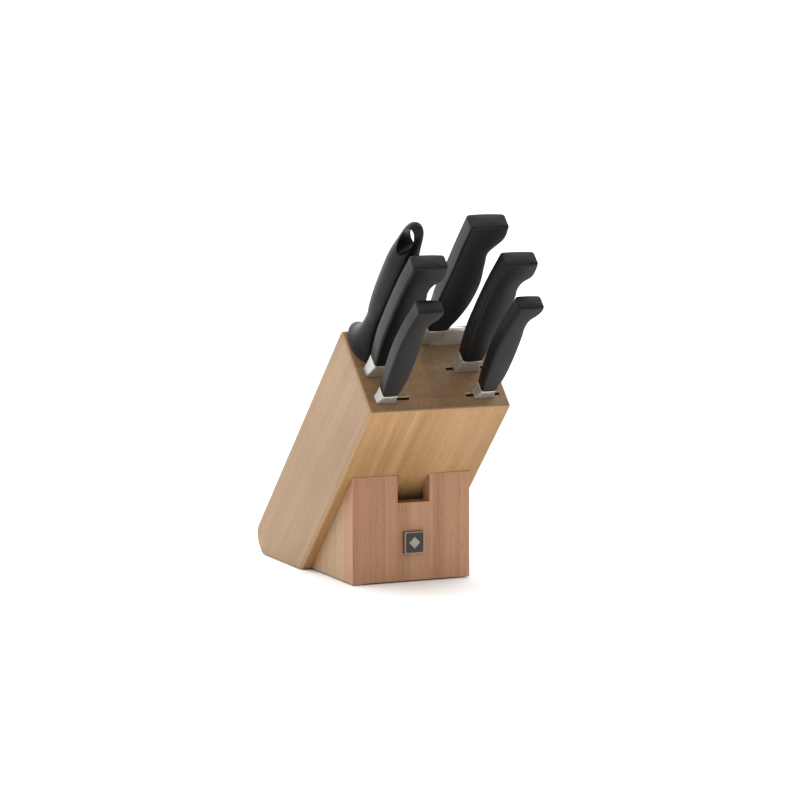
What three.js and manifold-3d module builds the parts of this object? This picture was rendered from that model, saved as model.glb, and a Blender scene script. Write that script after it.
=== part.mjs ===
// A slanted bamboo knife block on a small stand, with five knives and a sharpening steel.
// Millimetres. +X is to the right seen from the front, +Y to the back, +Z up.
// The block leans 45 degrees: its boards, the knives and the steel live in a slanted group whose
// X is across the block, Y runs through its thickness (front to back) and Z up along the knives.
import * as THREE from 'three';
import { mergeVertices } from 'three/addons/utils/BufferGeometryUtils.js';
import Module from 'manifold-3d';

const wasm = await Module();
wasm.setup();

// ---- driving dimensions: block ----
const SLANT = Math.PI / 4;
const BLOCK_WIDTH = 110;
const BLOCK_THICKNESS = 76.2;
const BLOCK_LENGTH = 241;
const TOP_EDGE_Y = -53;
const TOP_EDGE_Z = 132.3;
const EDGE_RADIUS = 2.6;
const HEEL_RADIUS = 9.5;
const BOARD_JOINTS = [10.4, 35.1, 59.8];
const GAP = 0.1;

// ---- driving dimensions: rows of slots, measured through the thickness ----
const FRONT_ROW = 11.8;
const MIDDLE_ROW = 36.6;
const BACK_ROW = 61.4;
const NARROW_SLOT = 2.8;
const WIDE_SLOT = 3.2;
const MOUTH_CHAMFER = 0.7;

// ---- driving dimensions: stand, feet, badge, dowels ----
const STAND_WIDTH = 93;
const FRONT_PANEL = 13;
const SIDE_PANEL = 12;
const FOOT_HEIGHT = 1;
const FOOT_RADIUS = 5;
const FITTINGS_X = 1.9;
const NOTCH_WIDTH = 25.3;
const NOTCH_FLOOR = 58.5;
const BADGE = { width: 15.6, height: 16.2, x: 1.1, z: 29.3, plate: 3.2, relief: 0.3, rim: 0.9, mark: 4.4 };
const DOWEL = { radius: 4, below: 10, inside: 7.5, along: [115, 150] };

// ---- driving dimensions: steel ----
const STEEL_X = -40.9;
const ROD_RADIUS = 5;
const ROD_LENGTH = 225;
const ROD_BORE = 5.8;
const STEEL_TANG = { radius: 3, top: 68 };
const LOOP_TURN = THREE.MathUtils.degToRad(30);
const LOOP_HOLE = { across: 5.6, along: 11.5, centre: 116.5 };

const SEAT = 0.3;
const RING_STEPS = 4;

// Knife styles: heights are above the block's top face; spine and belly are pairs of height and x.
const SMALL = {
  blade: { length: 100, thickness: 2, spine: [[-100, 3], [-80, -3], [-40, -5.4], [2, -5.4]],
    edge: [[-100, 3.4], [-85, 8.5], [-55, 11], [-18, 11.6], [-8, 11.4], [2, 7]] },
  bolster: { top: 9.5, spine: [[0, -7.8], [4, -6.6], [9.5, -5.8]], belly: [[0, 8.5], [4, 7.2], [9.5, 6.6]],
    depth: [[0, 8.4], [5, 9.8], [9.5, 11]] },
  grip: { top: 103.6, corner: 1.8,
    spine: [[9.5, -5.8], [20, -7.3], [36, -8.8], [62, -10.2], [83, -9.2], [103.6, -7.2]],
    belly: [[9.5, 6.6], [24, 8], [43, 7.8], [70, 6], [81, 4.8], [88.5, 6.2], [94, 10.6], [98, 12.2], [103.6, 11.8]],
    depth: [[9.5, 11], [40, 12], [103.6, 12]] },
};
const MEDIUM = {
  blade: { length: 200, thickness: 2, spine: [[-200, 4], [-170, -3], [-100, -6.6], [2, -7]],
    edge: [[-200, 4.4], [-180, 10], [-130, 14.4], [-30, 15.4], [-14, 15.2], [2, 7.6]] },
  bolster: { top: 14, spine: [[0, -11.6], [7, -10.4], [14, -9.8]], belly: [[0, 9], [7, 6.9], [14, 6.4]],
    depth: [[0, 9], [7, 10.8], [14, 12.4]] },
  grip: { top: 121.6, corner: 2,
    spine: [[14, -9.8], [22, -10.8], [41, -13.1], [63, -13.9], [79, -14.1], [100, -13.7], [121.6, -12.5]],
    belly: [[14, 6.4], [30, 8.8], [55, 9.8], [84, 8.4], [94, 7.1], [101, 9], [106, 13.6], [113, 14.4], [121.6, 13.6]],
    depth: [[14, 12.4], [40, 13], [121.6, 13.2]] },
};
const LARGE = {
  blade: { length: 200, thickness: 2.4, spine: [[-200, 15], [-170, 6.5], [-110, 3], [2, 2]],
    edge: [[-200, 15.4], [-170, 26.5], [-110, 37], [2, 40.6]] },
  bolster: { top: 20, spine: [[0, 2], [10, 1], [20, 0.4]], belly: [[0, 17.6], [10, 17], [20, 17]],
    depth: [[0, 3.6], [7, 7], [14, 11.4], [20, 13.4]],
    heel: [[9, 1.8, 16], [16, 2.4, 15.6], [24, 2.4, 15.2], [34, 2.2, 14], [38.5, 2, 11], [40.6, 1.7, 5.5]] },
  grip: { top: 133.2, corner: 2,
    spine: [[20, 0.4], [42, -0.9], [52, -1.9], [82, -1.9], [105, -2.3], [133.2, -2.2]],
    belly: [[20, 17], [31.6, 20.8], [48, 24.4], [70, 25.2], [92, 21.8], [104, 20.2], [109, 22], [115, 25.8],
      [119.5, 27.6], [133.2, 27]],
    depth: [[20, 13.4], [50, 14], [133.2, 14.3]] },
};
const KNIVES = [
  { name: 'paring_knife', x: -40.5, row: FRONT_ROW, style: SMALL },
  { name: 'vegetable_knife', x: 35.8, row: FRONT_ROW, style: SMALL },
  { name: 'carving_knife', x: -37, row: MIDDLE_ROW, style: MEDIUM },
  { name: 'utility_knife', x: 31.6, row: MIDDLE_ROW, style: MEDIUM },
  { name: 'chef_knife', x: 0, row: BACK_ROW, style: LARGE },
];
const TANG = { width: 6, thickness: 2.6, share: 0.7, clearance: 0.15 };
// Steel handle rings: height, half-width along the loop's plane, half-width across it.
const STEEL_GRIP = [[31, 7.5, 7.5], [42, 8.9, 8.9], [54, 10, 10], [68, 10.6, 10.6], [84, 10.9, 10.9],
  [94, 10.9, 10.6], [102, 10.3, 9.6], [110, 9.2, 8.6], [117, 8.3, 7.6], [122, 7.5, 6.9], [126, 6.3, 5.9],
  [129, 4.6, 4.3], [130.6, 2.8, 2.6], [131.3, 1.2, 1.1]];
// Guard rings: height, half-width in x, half-width through the thickness, centre through the thickness.
const STEEL_GUARD = [[SEAT, 11, 18.1, 63], [1.3, 11.6, 18.9, 63], [2.8, 11.3, 18.2, 63], [6, 10.2, 14, 62.6],
  [11, 9, 11, 62.2], [18, 8, 8.8, 61.7], [25, 7.6, 7.8, BACK_ROW]];

const SLOTS = [
  { board: 1, from: -47.5, to: -21.3, thickness: NARROW_SLOT },
  { board: 1, from: 23, to: 49.2, thickness: NARROW_SLOT },
  { board: 2, from: -48, to: -15, thickness: NARROW_SLOT },
  { board: 2, from: 15, to: 49, thickness: NARROW_SLOT },
  { board: 3, from: 0, to: 42, thickness: WIDE_SLOT },
];

const BAMBOO = { color: 0xb99a78, roughness: 0.55, metalness: 0 };
const STAND_BAMBOO = { color: 0xa57d61, roughness: 0.55, metalness: 0 };
const BLACK_PLASTIC = { color: 0x1d1d1f, roughness: 0.5, metalness: 0 };
const BRIGHT_STEEL = { color: 0xb9b9b6, roughness: 0.28, metalness: 1 };
const RUBBER = { color: 0xc4bfb8, roughness: 0.8, metalness: 0 };
const DARK_PLATE = { color: 0x4a4541, roughness: 0.4, metalness: 0.6 };

// ---- solids ----
function toSolid(geometry) {
  const bare = geometry.clone();
  bare.deleteAttribute('normal');
  bare.deleteAttribute('uv');
  const merged = mergeVertices(bare);
  return new wasm.Manifold(new wasm.Mesh({
    numProp: 3,
    vertProperties: new Float32Array(merged.attributes.position.array),
    triVerts: new Uint32Array(merged.index.array),
  }));
}

function toGeometry(solid) {
  const { vertProperties, triVerts } = solid.getMesh();
  const geometry = new THREE.BufferGeometry();
  geometry.setAttribute('position', new THREE.BufferAttribute(vertProperties, 3));
  geometry.setIndex(new THREE.BufferAttribute(triVerts, 1));
  return geometry;
}

function combine(operation, geometry, others) {
  return toGeometry(others.reduce((solid, other) => solid[operation](toSolid(other)), toSolid(geometry)));
}

function cut(geometry, ...tools) {
  return combine('subtract', geometry, tools);
}

function join(geometry, ...pieces) {
  return combine('add', geometry, pieces);
}

function common(geometry, ...others) {
  return combine('intersect', geometry, others);
}

function box(x0, x1, y0, y1, z0, z1) {
  return new THREE.BoxGeometry(x1 - x0, y1 - y0, z1 - z0).translate((x0 + x1) / 2, (y0 + y1) / 2, (z0 + z1) / 2);
}

// An outline of [a, b, corner radius] points as a shape with round corners.
function roundedShape(corners) {
  const kappa = 0.5523;
  const shape = new THREE.Shape();
  corners.forEach(([a, b, radius = 0], i) => {
    const corner = new THREE.Vector2(a, b);
    const toward = (j) => {
      const next = corners[(j + corners.length) % corners.length];
      return new THREE.Vector2(next[0], next[1]).sub(corner).normalize();
    };
    const back = toward(i - 1);
    const ahead = toward(i + 1);
    const reach = radius / Math.tan(back.angleTo(ahead) / 2);
    const at = (direction, distance) => corner.clone().addScaledVector(direction, distance);
    const start = at(back, reach);
    shape[i === 0 ? 'moveTo' : 'lineTo'](start.x, start.y);
    if (radius > 0) {
      const lead = at(back, reach * (1 - kappa));
      const trail = at(ahead, reach * (1 - kappa));
      const end = at(ahead, reach);
      shape.bezierCurveTo(lead.x, lead.y, trail.x, trail.y, end.x, end.y);
    }
  });
  shape.closePath();
  return shape;
}

// Extrudes a shape, centred, along the named axis; the shape's own axes become the other two.
function prism(shape, depth, along) {
  const axes = { x: [[0, 1, 0], [0, 0, 1], [1, 0, 0]], y: [[1, 0, 0], [0, 0, 1], [0, -1, 0]] }[along];
  const geometry = new THREE.ExtrudeGeometry(shape, { depth, bevelEnabled: false, curveSegments: 5 });
  geometry.translate(0, 0, -depth / 2);
  if (axes) {
    const [a, b, c] = axes.map((axis) => new THREE.Vector3(...axis));
    geometry.applyMatrix4(new THREE.Matrix4().makeBasis(a, b, c));
  }
  return geometry;
}

// A skin over rings of points that run counter-clockwise round the loft's direction, with closed ends.
function lofted(rings) {
  const count = rings[0].length;
  const points = rings.flat();
  const faces = [];
  for (let ring = 0; ring < rings.length - 1; ring += 1) {
    for (let i = 0; i < count; i += 1) {
      const a = ring * count + i;
      const b = ring * count + ((i + 1) % count);
      faces.push(a, b, b + count, a, b + count, a + count);
    }
  }
  const last = (rings.length - 1) * count;
  for (let i = 1; i < count - 1; i += 1) {
    faces.push(0, i + 1, i);
    faces.push(last, last + i, last + i + 1);
  }
  const geometry = new THREE.BufferGeometry().setFromPoints(points);
  geometry.setIndex(faces);
  return geometry;
}

function along(pairs, level) {
  const levels = pairs.map(([at]) => at);
  const values = pairs.map(([, value]) => value);
  const inside = THREE.MathUtils.clamp(level, levels[0], levels[levels.length - 1]);
  return new THREE.CubicInterpolant(levels, values, 1).evaluate(inside)[0];
}

function spread(from, to, count) {
  return Array.from({ length: count + 1 }, (_, i) => from + ((to - from) * i) / count);
}

// A rounded rectangle in x and y, as one ring at the given height.
function roundedRing(left, right, depth, corner, z) {
  const radius = Math.min(corner, (right - left) / 2 - 0.1, depth / 2 - 0.1);
  const ring = [];
  [[1, 1], [-1, 1], [-1, -1], [1, -1]].forEach(([sx, sy], quarter) => {
    const cx = sx > 0 ? right - radius : left + radius;
    const cy = sy * (depth / 2 - radius);
    spread(0, Math.PI / 2, RING_STEPS).forEach((turn) => {
      const angle = turn + (quarter * Math.PI) / 2;
      ring.push(new THREE.Vector3(cx + radius * Math.cos(angle), cy + radius * Math.sin(angle), z));
    });
  });
  return ring;
}

function ellipseRing(rx, ry, cx, cy, z, turn = 0) {
  return spread(0, 2 * Math.PI, 24).slice(0, -1).map((angle) => {
    const x = rx * Math.cos(angle - turn);
    const y = ry * Math.sin(angle - turn);
    return new THREE.Vector3(
      cx + x * Math.cos(turn) - y * Math.sin(turn),
      cy + x * Math.sin(turn) + y * Math.cos(turn),
      z,
    );
  });
}

// ---- block boards ----
function bottomAt(y) {
  return (FOOT_HEIGHT - TOP_EDGE_Z) / Math.cos(SLANT) - y;
}

function blockBody() {
  const heelY = bottomAt(0) + BLOCK_LENGTH;
  const side = roundedShape([
    [0, 0, EDGE_RADIUS], [0, bottomAt(0), 0], [heelY, -BLOCK_LENGTH, 0],
    [BLOCK_THICKNESS, -BLOCK_LENGTH, HEEL_RADIUS], [BLOCK_THICKNESS, 0, EDGE_RADIUS],
  ]);
  const half = BLOCK_WIDTH / 2;
  const section = roundedShape([
    [-half, 0, EDGE_RADIUS], [half, 0, EDGE_RADIUS],
    [half, BLOCK_THICKNESS, EDGE_RADIUS], [-half, BLOCK_THICKNESS, EDGE_RADIUS],
  ]);
  const front = roundedShape([
    [-half, 0, EDGE_RADIUS], [-half, -2 * BLOCK_LENGTH, 0], [half, -2 * BLOCK_LENGTH, 0], [half, 0, EDGE_RADIUS],
  ]);
  return common(
    prism(side, 2 * BLOCK_WIDTH, 'x'),
    prism(section, 3 * BLOCK_LENGTH, 'z'),
    prism(front, 4 * BLOCK_THICKNESS, 'y'),
  );
}

function slotTool({ board, from, to, thickness }) {
  const face = BOARD_JOINTS[board - 1];
  const reach = face + thickness;
  const deep = BLOCK_LENGTH + EDGE_RADIUS;
  const mouth = lofted([
    roundedRing(from, to, 2 * thickness, 0.4, -MOUTH_CHAMFER),
    roundedRing(from - 2 * MOUTH_CHAMFER, to + 2 * MOUTH_CHAMFER, 2 * (thickness + 2 * MOUTH_CHAMFER), 0.4,
      MOUTH_CHAMFER),
  ]).translate(0, face, 0);
  return join(box(from, to, face - thickness, reach, -deep, 1), mouth);
}

function boreTool() {
  const bore = new THREE.CylinderGeometry(ROD_BORE, ROD_BORE, 3 * BLOCK_LENGTH, 28).rotateX(Math.PI / 2);
  return bore.translate(STEEL_X, BACK_ROW, 0);
}

function dowelGeometry(grow) {
  const length = DOWEL.below + DOWEL.inside + 2 * grow;
  const radius = DOWEL.radius + grow;
  return new THREE.CylinderGeometry(radius, radius, length, 20).translate(0, (DOWEL.inside - DOWEL.below) / 2, 0);
}

function dowelPlaces() {
  const x = STAND_WIDTH / 2 - SIDE_PANEL / 2;
  return [-x, x].flatMap((side) => DOWEL.along.map((down) => new THREE.Vector3(side, 0, -down)));
}

function boardGeometry(index) {
  const from = index === 0 ? -1 : BOARD_JOINTS[index - 1] + GAP / 2;
  const to = index === BOARD_JOINTS.length ? BLOCK_THICKNESS + 1 : BOARD_JOINTS[index] - GAP / 2;
  const slab = box(-BLOCK_WIDTH, BLOCK_WIDTH, from, to, -2 * BLOCK_LENGTH, 1);
  const tools = SLOTS.filter(({ board }) => board === index).map(slotTool);
  if (index >= 2) {
    tools.push(boreTool());
  }
  if (index === 0) {
    dowelPlaces().forEach(({ x, y, z }) => tools.push(dowelGeometry(GAP).translate(x, y, z)));
  }
  const board = common(blockBody(), slab);
  return tools.length ? cut(board, ...tools) : board;
}

// ---- stand ----
function undersideZ(y) {
  return TOP_EDGE_Z + TOP_EDGE_Y - y - 2 * GAP;
}

function panelShape(y0, y1) {
  return roundedShape([[y0, FOOT_HEIGHT], [y1, FOOT_HEIGHT], [y1, undersideZ(y1)], [y0, undersideZ(y0)]]);
}

function frontPanelGeometry() {
  const x0 = FITTINGS_X - NOTCH_WIDTH / 2;
  const notch = box(x0, x0 + NOTCH_WIDTH, -1, FRONT_PANEL + 1, NOTCH_FLOOR, TOP_EDGE_Z);
  return cut(prism(panelShape(0, FRONT_PANEL), STAND_WIDTH, 'x'), notch);
}

function sidePanelGeometry(side) {
  const y0 = FRONT_PANEL + GAP;
  const y1 = undersideZ(0) - FOOT_HEIGHT - 1;
  const x = side * (STAND_WIDTH / 2 - SIDE_PANEL / 2);
  const tools = dowelPlaces().filter((place) => place.x * side > 0).map((place) => {
    const tool = dowelGeometry(GAP).translate(place.x, place.y, place.z);
    return tool.applyMatrix4(slantMatrix());
  });
  return cut(prism(panelShape(y0, y1), SIDE_PANEL, 'x').translate(x, 0, 0), ...tools);
}

function badgeGeometry() {
  const { width, height, plate, relief, rim, mark } = BADGE;
  const face = -GAP - plate;
  const rimX = width / 2;
  const rimZ = height / 2;
  const raised = cut(
    box(-rimX, rimX, face - relief, face + relief, -rimZ, rimZ),
    box(rim - rimX, rimX - rim, face - 2 * relief, face + 2 * relief, rim - rimZ, rimZ - rim),
  );
  const lozenge = roundedShape([[0, -mark, 0.4], [mark, 0, 0.4], [0, mark, 0.4], [-mark, 0, 0.4]]);
  return join(box(-rimX, rimX, face, -GAP, -rimZ, rimZ), raised, prism(lozenge, 2 * relief, 'y').translate(0, face, 0));
}

// ---- knives ----
function bladeGeometry({ blade }) {
  const rings = spread(-blade.length, 2, 14).map((z) => {
    const spine = along(blade.spine, z);
    const edge = along(blade.edge, z);
    const half = blade.thickness / 2;
    return [[spine, -half], [edge, -0.15], [edge, 0.15], [spine, half]].map(([x, y]) => new THREE.Vector3(x, y, z));
  });
  return lofted(rings);
}

function bolsterGeometry({ bolster, grip }) {
  const rings = spread(SEAT, bolster.top, 5).map((z) => roundedRing(
    along(bolster.spine, z), along(bolster.belly, z), along(bolster.depth, z), grip.corner, z,
  ));
  return lofted(rings);
}

// A full bolster runs on down to the blade's heel as a web that thins toward the edge.
function heelGeometry({ bolster }) {
  const rings = bolster.heel.map(([x, half, top]) => [
    [-half, SEAT], [half, SEAT], [half, top - half * 0.6], [half * 0.5, top], [-half * 0.5, top],
    [-half, top - half * 0.6],
  ].map(([y, z]) => new THREE.Vector3(x, y, z)));
  return lofted(rings);
}

function tangBox({ bolster, grip }, grow) {
  const middle = (along(grip.spine, bolster.top) + along(grip.belly, bolster.top)) / 2;
  const half = TANG.width / 2 + grow;
  const depth = TANG.thickness / 2 + grow;
  return box(middle - half, middle + half, -depth, depth, bolster.top - 1, grip.top * TANG.share + grow);
}

function forgedGeometry(style) {
  const pieces = [bolsterGeometry(style), tangBox(style, 0)];
  if (style.bolster.heel) {
    pieces.push(heelGeometry(style));
  }
  return join(bladeGeometry(style), ...pieces);
}

function handleGeometry(style) {
  const { bolster, grip } = style;
  const crown = grip.corner;
  const body = spread(bolster.top + GAP, grip.top - crown, 26).map((z) => ({ z, inset: 0 }));
  const end = spread(0, Math.PI / 2, 3).slice(1).map((turn) => ({
    z: grip.top - crown + crown * Math.sin(turn),
    inset: crown * (1 - Math.cos(turn)),
  }));
  const rings = [...body, ...end].map(({ z, inset }) => roundedRing(
    along(grip.spine, z) + inset, along(grip.belly, z) - inset, along(grip.depth, z) - 2 * inset, grip.corner, z,
  ));
  return cut(lofted(rings), tangBox(style, TANG.clearance));
}

// ---- steel ----
function rodGeometry() {
  const { radius, top } = STEEL_TANG;
  const profile = [
    [0, -ROD_LENGTH], [ROD_RADIUS * 0.6, -ROD_LENGTH], [ROD_RADIUS, 4 - ROD_LENGTH], [ROD_RADIUS, 0], [radius, 0],
    [radius, top], [0, top],
  ];
  const points = profile.map(([r, z]) => new THREE.Vector2(r, z));
  return new THREE.LatheGeometry(points, 28).rotateX(Math.PI / 2);
}

function steelHandleGeometry() {
  const { radius, top } = STEEL_TANG;
  const guard = STEEL_GUARD.map(([z, rx, ry, cy]) => ellipseRing(rx, ry, 0, cy - BACK_ROW, z));
  const grip = STEEL_GRIP.map(([z, inPlane, across]) => ellipseRing(across, inPlane, 0, 0, z, LOOP_TURN));
  const loop = lofted([...guard, ...grip]);
  const hole = new THREE.CylinderGeometry(1, 1, 60, 24).rotateZ(Math.PI / 2);
  hole.scale(1, LOOP_HOLE.across, LOOP_HOLE.along);
  hole.rotateZ(LOOP_TURN).translate(0, 0, LOOP_HOLE.centre);
  const bore = new THREE.CylinderGeometry(radius + GAP, radius + GAP, 2 * (top + GAP), 24).rotateX(Math.PI / 2);
  return cut(loop, hole, bore);
}

// ---- assembly ----
function slantMatrix() {
  const matrix = new THREE.Matrix4().makeRotationX(SLANT);
  return matrix.setPosition(0, TOP_EDGE_Y, TOP_EDGE_Z);
}

function place(parent, name, geometry, finish, x = 0, y = 0, z = 0) {
  const mesh = new THREE.Mesh(geometry, new THREE.MeshStandardMaterial(finish));
  mesh.name = name;
  mesh.position.set(x, y, z);
  parent.add(mesh);
}

function addBoards(slanted) {
  ['front_board', 'front_core_board', 'rear_core_board', 'back_board'].forEach((name, index) => {
    place(slanted, name, boardGeometry(index), BAMBOO);
  });
  const names = ['left_upper_dowel', 'left_lower_dowel', 'right_upper_dowel', 'right_lower_dowel'];
  dowelPlaces().forEach(({ x, y, z }, i) => place(slanted, names[i], dowelGeometry(0), BAMBOO, x, y, z));
}

function addStand(upright) {
  place(upright, 'stand_front_panel', frontPanelGeometry(), STAND_BAMBOO);
  place(upright, 'stand_left_panel', sidePanelGeometry(-1), STAND_BAMBOO);
  place(upright, 'stand_right_panel', sidePanelGeometry(1), STAND_BAMBOO);
  place(upright, 'badge', badgeGeometry(), DARK_PLATE, BADGE.x, 0, BADGE.z);
}

function addFeet(upright) {
  const height = FOOT_HEIGHT - GAP;
  const foot = new THREE.CylinderGeometry(FOOT_RADIUS, FOOT_RADIUS, height, 24).rotateX(Math.PI / 2);
  const frontX = STAND_WIDTH / 2 - FRONT_PANEL / 2;
  const rearX = BLOCK_WIDTH / 2 - 2 * FOOT_RADIUS;
  const rearY = TOP_EDGE_Z + TOP_EDGE_Y + 60;
  const places = [
    ['front_left_foot', -frontX, FRONT_PANEL / 2], ['front_right_foot', frontX, FRONT_PANEL / 2],
    ['rear_left_foot', -rearX, rearY], ['rear_right_foot', rearX, rearY],
  ];
  places.forEach(([name, x, y]) => place(upright, name, foot.clone(), RUBBER, x, y, height / 2));
}

function addKnives(slanted) {
  KNIVES.forEach(({ name, x, row, style }) => {
    place(slanted, `${name}_blade`, forgedGeometry(style), BRIGHT_STEEL, x, row, 0);
    place(slanted, `${name}_handle`, handleGeometry(style), BLACK_PLASTIC, x, row, 0);
  });
}

function addSteel(slanted) {
  place(slanted, 'steel_rod', rodGeometry(), BRIGHT_STEEL, STEEL_X, BACK_ROW, 0);
  place(slanted, 'steel_handle', steelHandleGeometry(), BLACK_PLASTIC, STEEL_X, BACK_ROW, 0);
}

// The origin is on the ground, under the middle of the whole object's box.
function knifeBlock() {
  const model = new THREE.Group();
  const slanted = new THREE.Group();
  slanted.rotation.x = SLANT;
  slanted.position.set(0, TOP_EDGE_Y, TOP_EDGE_Z);
  const upright = new THREE.Group();
  model.add(slanted, upright);
  addBoards(slanted);
  addStand(upright);
  addFeet(upright);
  addKnives(slanted);
  addSteel(slanted);
  const centre = new THREE.Box3().setFromObject(model, true).getCenter(new THREE.Vector3());
  model.position.set(-centre.x, -centre.y, 0);
  const group = new THREE.Group();
  group.add(model);
  return group;
}

export default knifeBlock();
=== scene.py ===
"""A slanted bamboo knife block on a small stand, with five knives and a sharpening steel.

Pieces of the block, the knives and the steel are built in slanted axes: x across the block, t through
its thickness from front to back, and u up along the knives, with u = 0 at the block's top face.
Sizes are in millimetres, and MM turns them into the scene's metres.
"""

import math

import bmesh
import bpy
from mathutils import Matrix, Vector


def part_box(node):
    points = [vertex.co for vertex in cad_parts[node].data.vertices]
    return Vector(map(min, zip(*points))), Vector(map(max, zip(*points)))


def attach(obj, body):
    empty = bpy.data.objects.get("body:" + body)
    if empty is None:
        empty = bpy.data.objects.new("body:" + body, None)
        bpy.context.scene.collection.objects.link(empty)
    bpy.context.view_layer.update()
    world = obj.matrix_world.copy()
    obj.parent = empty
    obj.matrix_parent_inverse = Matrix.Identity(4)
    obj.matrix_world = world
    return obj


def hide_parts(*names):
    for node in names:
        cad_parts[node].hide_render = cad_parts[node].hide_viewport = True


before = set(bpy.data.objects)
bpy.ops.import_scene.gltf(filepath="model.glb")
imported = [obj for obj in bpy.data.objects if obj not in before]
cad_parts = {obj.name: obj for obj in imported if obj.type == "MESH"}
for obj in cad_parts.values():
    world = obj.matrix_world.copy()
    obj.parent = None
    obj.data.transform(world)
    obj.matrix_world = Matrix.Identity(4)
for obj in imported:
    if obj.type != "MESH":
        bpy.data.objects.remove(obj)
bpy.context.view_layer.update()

MM = 0.001
FRONT_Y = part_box("stand_front_panel")[0][1] / MM
FLOOR_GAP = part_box("stand_front_panel")[0][2] / MM

# ---- block ----
SLANT = math.radians(45)
TOP_EDGE = (-53.0, 132.3)  # y from the stand's front face, and z
HALF_WIDTH = 55.0
THICKNESS = 76.2
LENGTH = 241.0
EDGE_RADIUS = 2.6
HEEL_RADIUS = 9.5
BOARDS = [
    ("front_board", 0.0, 10.4),
    ("front_core_board", 10.4, 35.1),
    ("rear_core_board", 35.1, 59.8),
    ("back_board", 59.8, THICKNESS),
]
FRONTS = {name: front for name, front, _ in BOARDS}
SEAM = 0.01  # half the hairline between two boards
# Board whose front face is grooved, the groove's two ends in x, and its depth.
SLOTS = [
    ("front_core_board", -47.5, -21.3, 2.8),
    ("front_core_board", 23.0, 49.2, 2.8),
    ("rear_core_board", -48.0, -15.0, 2.8),
    ("rear_core_board", 15.0, 49.0, 2.8),
    ("back_board", 0.0, 42.0, 3.2),
]
MOUTH_CHAMFER = 0.7
WALL_REACH = 0.1  # how far past a slot's wall a face still counts as the slot's
ARC_STEPS = 8
BORE_STEPS = 24

# ---- stand and badge ----
STAND_HALF = 46.5
FRONT_PANEL = 13.0
SIDE_PANEL = 12.0
JOINT_GAP = 0.1
PANEL_ROUND = 0.5
NOTCH = {"left": -10.75, "right": 14.55, "floor": 58.5}
# half is the badge's half width, and tall its half height.
BADGE = {"x": 1.1, "z": 29.3, "half": 7.8, "tall": 8.1, "corner": 0.7, "plate": 3.2, "relief": 0.3,
         "rim": 0.9, "mark": 4.4}

# ---- rows and knives ----
# Rows are places in t. A knife's tables are pairs of u and a place in x, or of u and a thickness in t.
FRONT_ROW, MIDDLE_ROW, BACK_ROW = 11.8, 36.6, 61.4
SEAT = 0.3  # clearance between the block's top face and what stands on it
SMALL = {
    "blade": {"length": 100, "thickness": 2.0,
              "spine": [(-100, 3), (-80, -3), (-40, -5.4), (2, -5.4)],
              "edge": [(-100, 3.4), (-85, 8.5), (-55, 11), (-18, 11.6), (-8, 11.4), (2, 7)]},
    "bolster": {"top": 9.5, "spine": [(0, -7.8), (4, -6.6), (9.5, -5.8)],
                "belly": [(0, 8.5), (4, 7.2), (9.5, 6.6)], "depth": [(0, 8.4), (5, 9.8), (9.5, 11)]},
    "grip": {"top": 103.6, "corner": 1.8,
             "spine": [(9.5, -5.8), (20, -7.3), (36, -8.8), (62, -10.2), (83, -9.2), (103.6, -7.2)],
             "belly": [(9.5, 6.6), (24, 8), (43, 7.8), (70, 6), (81, 4.8), (88.5, 6.2), (94, 10.6),
                       (98, 12.2), (103.6, 11.8)],
             "depth": [(9.5, 11), (40, 12), (103.6, 12)]},
}
MEDIUM = {
    "blade": {"length": 200, "thickness": 2.0,
              "spine": [(-200, 4), (-170, -3), (-100, -6.6), (2, -7)],
              "edge": [(-200, 4.4), (-180, 10), (-130, 14.4), (-30, 15.4), (-14, 15.2), (2, 7.6)]},
    "bolster": {"top": 14, "spine": [(0, -11.6), (7, -10.4), (14, -9.8)],
                "belly": [(0, 9), (7, 6.9), (14, 6.4)], "depth": [(0, 9), (7, 10.8), (14, 12.4)]},
    "grip": {"top": 121.6, "corner": 2.0,
             "spine": [(14, -9.8), (22, -10.8), (41, -13.1), (63, -13.9), (79, -14.1), (100, -13.7),
                       (121.6, -12.5)],
             "belly": [(14, 6.4), (30, 8.8), (55, 9.8), (84, 8.4), (94, 7.1), (101, 9), (106, 13.6),
                       (113, 14.4), (121.6, 13.6)],
             "depth": [(14, 12.4), (40, 13), (121.6, 13.2)]},
}
LARGE = {
    "blade": {"length": 200, "thickness": 2.4,
              "spine": [(-200, 15), (-170, 6.5), (-110, 3), (2, 2)],
              "edge": [(-200, 15.4), (-170, 26.5), (-110, 37), (2, 40.6)]},
    "bolster": {"top": 20, "spine": [(0, 2), (10, 1), (20, 0.4)],
                "belly": [(0, 17.6), (10, 17), (20, 17)], "depth": [(0, 3.6), (7, 7), (14, 11.4), (20, 13.4)],
                # x, half thickness, and top of the web that runs down to the blade's heel
                "heel": [(9, 1.8, 16), (16, 2.4, 15.6), (24, 2.4, 15.2), (34, 2.2, 14), (38.5, 2, 11),
                         (40.6, 1.7, 5.5)]},
    "grip": {"top": 133.2, "corner": 2.0,
             "spine": [(20, 0.4), (42, -0.9), (52, -1.9), (82, -1.9), (105, -2.3), (133.2, -2.2)],
             "belly": [(20, 17), (31.6, 20.8), (48, 24.4), (70, 25.2), (92, 21.8), (104, 20.2), (109, 22),
                       (115, 25.8), (119.5, 27.6), (133.2, 27)],
             "depth": [(20, 13.4), (50, 14), (133.2, 14.3)]},
}
KNIVES = [
    ("paring_knife", -40.5, FRONT_ROW, SMALL),
    ("vegetable_knife", 35.8, FRONT_ROW, SMALL),
    ("carving_knife", -37.0, MIDDLE_ROW, MEDIUM),
    ("utility_knife", 31.6, MIDDLE_ROW, MEDIUM),
    ("chef_knife", 0.0, BACK_ROW, LARGE),
]
FACE_CROWN = 0.12  # share of its thickness that a handle loses from its ridge to its edge
RIDGE = 0.42  # where the ridge is, as a share of the way from the spine to the belly
FACE_STEPS = 7
GRIP_STEPS = 60
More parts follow.
